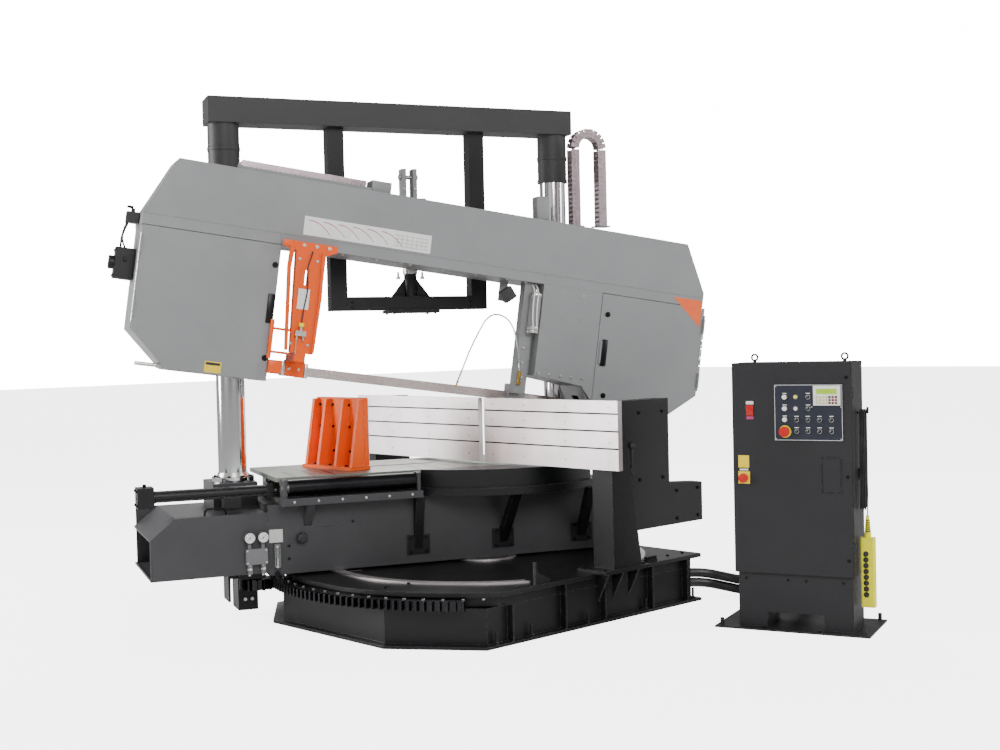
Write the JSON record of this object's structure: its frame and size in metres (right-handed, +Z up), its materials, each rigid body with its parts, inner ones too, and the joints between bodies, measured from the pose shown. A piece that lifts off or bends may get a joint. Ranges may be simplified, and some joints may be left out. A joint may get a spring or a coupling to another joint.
{
  "type": "band saw",
  "caption": "Double-column mitre band saw: canted lifting head over a slewing table, fixed and movable jaws, control cabinet.",
  "frame": {"origin": "on the floor under the slewing axis, where the blade plane crosses the face of the fixed jaws", "axes": "+Z up; +Y along the fixed jaws, the direction the stock is fed; +X square to the jaws, from the movable jaw towards them"},
  "size_m": [4.1881, 4.3568, 3.712],
  "materials": {
    "head_grey": "satin enamel",
    "frame_black": "satin enamel",
    "body_charcoal": "satin enamel",
    "orange": "satin enamel",
    "cabinet_grey": "satin enamel",
    "ground_steel": "ground",
    "hard_chrome": "polished",
    "table_iron": "ground",
    "gear_iron": "machined and oiled",
    "blade_steel": "rolled",
    "red_plastic": "glossy",
    "white_plastic": "matt",
    "black_plastic": "matt",
    "pendant_yellow": "matt",
    "cable_rubber": "matt",
    "chain_steel": "plated"
  },
  "bodies": {
    "base": {"base_frame": "frame_black", "base_top_plate": "frame_black", "slew_gear_ring": "gear_iron", "ring_track": "ground_steel", "vise_tower": "frame_black", "jaw_rear_support": "frame_black", "fixed_jaw_near": "ground_steel", "fixed_jaw_far": "ground_steel", "cabinet_shell": "cabinet_grey", "cabinet_plinth": "cabinet_grey", "conduit_lower": "cable_rubber", "conduit_upper": "cable_rubber", "pendant_hanger": "frame_black", "pendant_box": "pendant_yellow", "pendant_hank": "cable_rubber"},
    "tower_lever": {"tower_lever": "black_plastic"},
    "cabinet_door": {"cabinet_door": "cabinet_grey"},
    "estop_button": {"estop_button": "red_plastic"},
    "main_switch": {"main_switch": "red_plastic"},
    "push_button_1": {"push_button_1": "white_plastic"},
    "push_button_2": {"push_button_2": "white_plastic"},
    "push_button_3": {"push_button_3": "white_plastic"},
    "swivel": {"swivel_beam": "body_charcoal", "chip_trough": "body_charcoal", "table_bed": "table_iron", "apron": "frame_black", "roller_rail": "body_charcoal", "vise_cylinder": "frame_black", "column_left": "hard_chrome", "column_right": "hard_chrome", "top_crossbar": "frame_black", "hanger_post_left": "frame_black", "hanger_post_right": "frame_black", "hanger_bar": "frame_black", "lift_cylinder": "frame_black", "swivel_drive": "frame_black", "gauge_manifold": "ground_steel"},
    "drive_pinion": {"drive_pinion": "gear_iron"},
    "infeed_roller": {"infeed_roller": "frame_black"},
    "lock_knob": {"lock_knob": "black_plastic"},
    "vise_ram": {"vise_rod": "hard_chrome"},
    "movable_jaw": {"movable_jaw": "orange"},
    "head": {"head_beam": "head_grey", "left_wheel_box": "head_grey", "right_wheel_box": "head_grey", "carriage_left": "head_grey", "carriage_right": "head_grey", "gearbox": "frame_black", "tension_unit": "frame_black", "blade": "blade_steel", "fixed_guide": "head_grey", "chain_arch": "chain_steel", "lift_rod": "head_grey"},
    "left_door": {"left_door": "head_grey"},
    "right_door": {"right_door": "head_grey"},
    "idle_carriage": {"idle_carriage": "frame_black"},
    "idle_wheel": {"idle_wheel": "frame_black"},
    "drive_wheel": {"drive_wheel": "frame_black"},
    "guide_arm": {"guide_arm": "orange"},
    "work_lamp": {"work_lamp": "black_plastic"}
  },
  "joints": [
    {"name": "mitre_swing", "type": "hinge", "parent": "base", "child": "swivel", "pos_m": [0, 0, 0], "axis": [0, 0, 1], "range_deg": [-8.3, 51.7]},
    {"name": "pinion_spin", "type": "hinge", "parent": "swivel", "child": "drive_pinion", "pos_m": [-1.52629, 0.70202, 0.28], "axis": [0, 0, 1], "range_deg": [-121.2, 728.8]},
    {"name": "head_lift", "type": "slide", "parent": "swivel", "child": "head", "axis": [0, 0, 1], "range_m": [-0.43, 0.28]},
    {"name": "vise_stroke", "type": "slide", "parent": "swivel", "child": "vise_ram", "axis": [0.9291, -0.3697, 0], "range_m": [-0.05, 0.66]},
    {"name": "jaw_align", "type": "hinge", "parent": "vise_ram", "child": "movable_jaw", "pos_m": [-0.84018, 0.67983, 1.036], "axis": [0, 0, 1], "range_deg": [-51.7, 8.3]},
    {"name": "roller_spin", "type": "hinge", "parent": "swivel", "child": "infeed_roller", "pos_m": [-1.06327, 0.19495, 0.968], "axis": [0.9291, -0.3697, 0], "continuous": true},
    {"name": "lock_turn", "type": "hinge", "parent": "swivel", "child": "lock_knob", "pos_m": [-1.36924, 0.37268, 0.61], "axis": [-0.3697, -0.9291, 0], "range_deg": [-180, 180]},
    {"name": "left_door_hinge", "type": "hinge", "parent": "head", "child": "left_door", "pos_m": [-2.38882, 0.72569, 2.33036], "axis": [-0.1335, 0.0531, -0.9896], "range_deg": [0, 110]},
    {"name": "right_door_hinge", "type": "hinge", "parent": "head", "child": "right_door", "pos_m": [1.5365, -0.83639, 1.71705], "axis": [0.1335, -0.0531, 0.9896], "range_deg": [0, 38]},
    {"name": "blade_tension", "type": "slide", "parent": "head", "child": "idle_carriage", "axis": [-0.9195, 0.3659, 0.1437], "range_m": [-0.012, 0]},
    {"name": "idle_spin", "type": "hinge", "parent": "idle_carriage", "child": "idle_wheel", "pos_m": [-1.88273, 0.74923, 2.29367], "axis": [0.3697, 0.9291, 0], "continuous": true},
    {"name": "drive_spin", "type": "hinge", "parent": "head", "child": "drive_wheel", "pos_m": [1.18378, -0.47108, 1.81455], "axis": [0.3697, 0.9291, 0], "continuous": true},
    {"name": "guide_slide", "type": "slide", "parent": "head", "child": "guide_arm", "axis": [0.9195, -0.3659, -0.1437], "range_m": [-0.012, 0.95]},
    {"name": "lamp_tilt", "type": "hinge", "parent": "head", "child": "work_lamp", "pos_m": [0.1292, -0.14828, 2.28232], "axis": [0.3697, 0.9291, 0], "range_deg": [-45, 45]},
    {"name": "jaw_lever", "type": "hinge", "parent": "base", "child": "tower_lever", "pos_m": [0.285, -1.19, 1.03], "axis": [0, -1, 0], "range_deg": [-60, 15]},
    {"name": "cabinet_hinge", "type": "hinge", "parent": "base", "child": "cabinet_door", "pos_m": [0.78907, -2.65281, 1], "axis": [0, 0, 1], "range_deg": [0, 115]},
    {"name": "estop_press", "type": "slide", "parent": "cabinet_door", "child": "estop_button", "axis": [0.9397, 0.342, 0], "range_m": [0, 0.006], "stiffness_N_per_m": 900},
    {"name": "main_switch_turn", "type": "hinge", "parent": "cabinet_door", "child": "main_switch", "pos_m": [0.5341, -1.98154, 1], "axis": [-0.9397, -0.342, 0], "range_deg": [0, 90]},
    {"name": "button_press_1", "type": "slide", "parent": "cabinet_door", "child": "push_button_1", "axis": [0.9397, 0.342, 0], "range_m": [0, 0.005], "stiffness_N_per_m": 500},
    {"name": "button_press_2", "type": "slide", "parent": "cabinet_door", "child": "push_button_2", "axis": [0.9397, 0.342, 0], "range_m": [0, 0.005], "stiffness_N_per_m": 500},
    {"name": "button_press_3", "type": "slide", "parent": "cabinet_door", "child": "push_button_3", "axis": [0.9397, 0.342, 0], "range_m": [0, 0.005], "stiffness_N_per_m": 500}
  ],
  "couplings": [
    {"joint": "pinion_spin", "follows": "mitre_swing", "ratio": 14},
    {"joint": "jaw_align", "follows": "mitre_swing", "ratio": -1},
    {"joint": "idle_spin", "follows": "drive_spin", "ratio": 1}
  ]
}
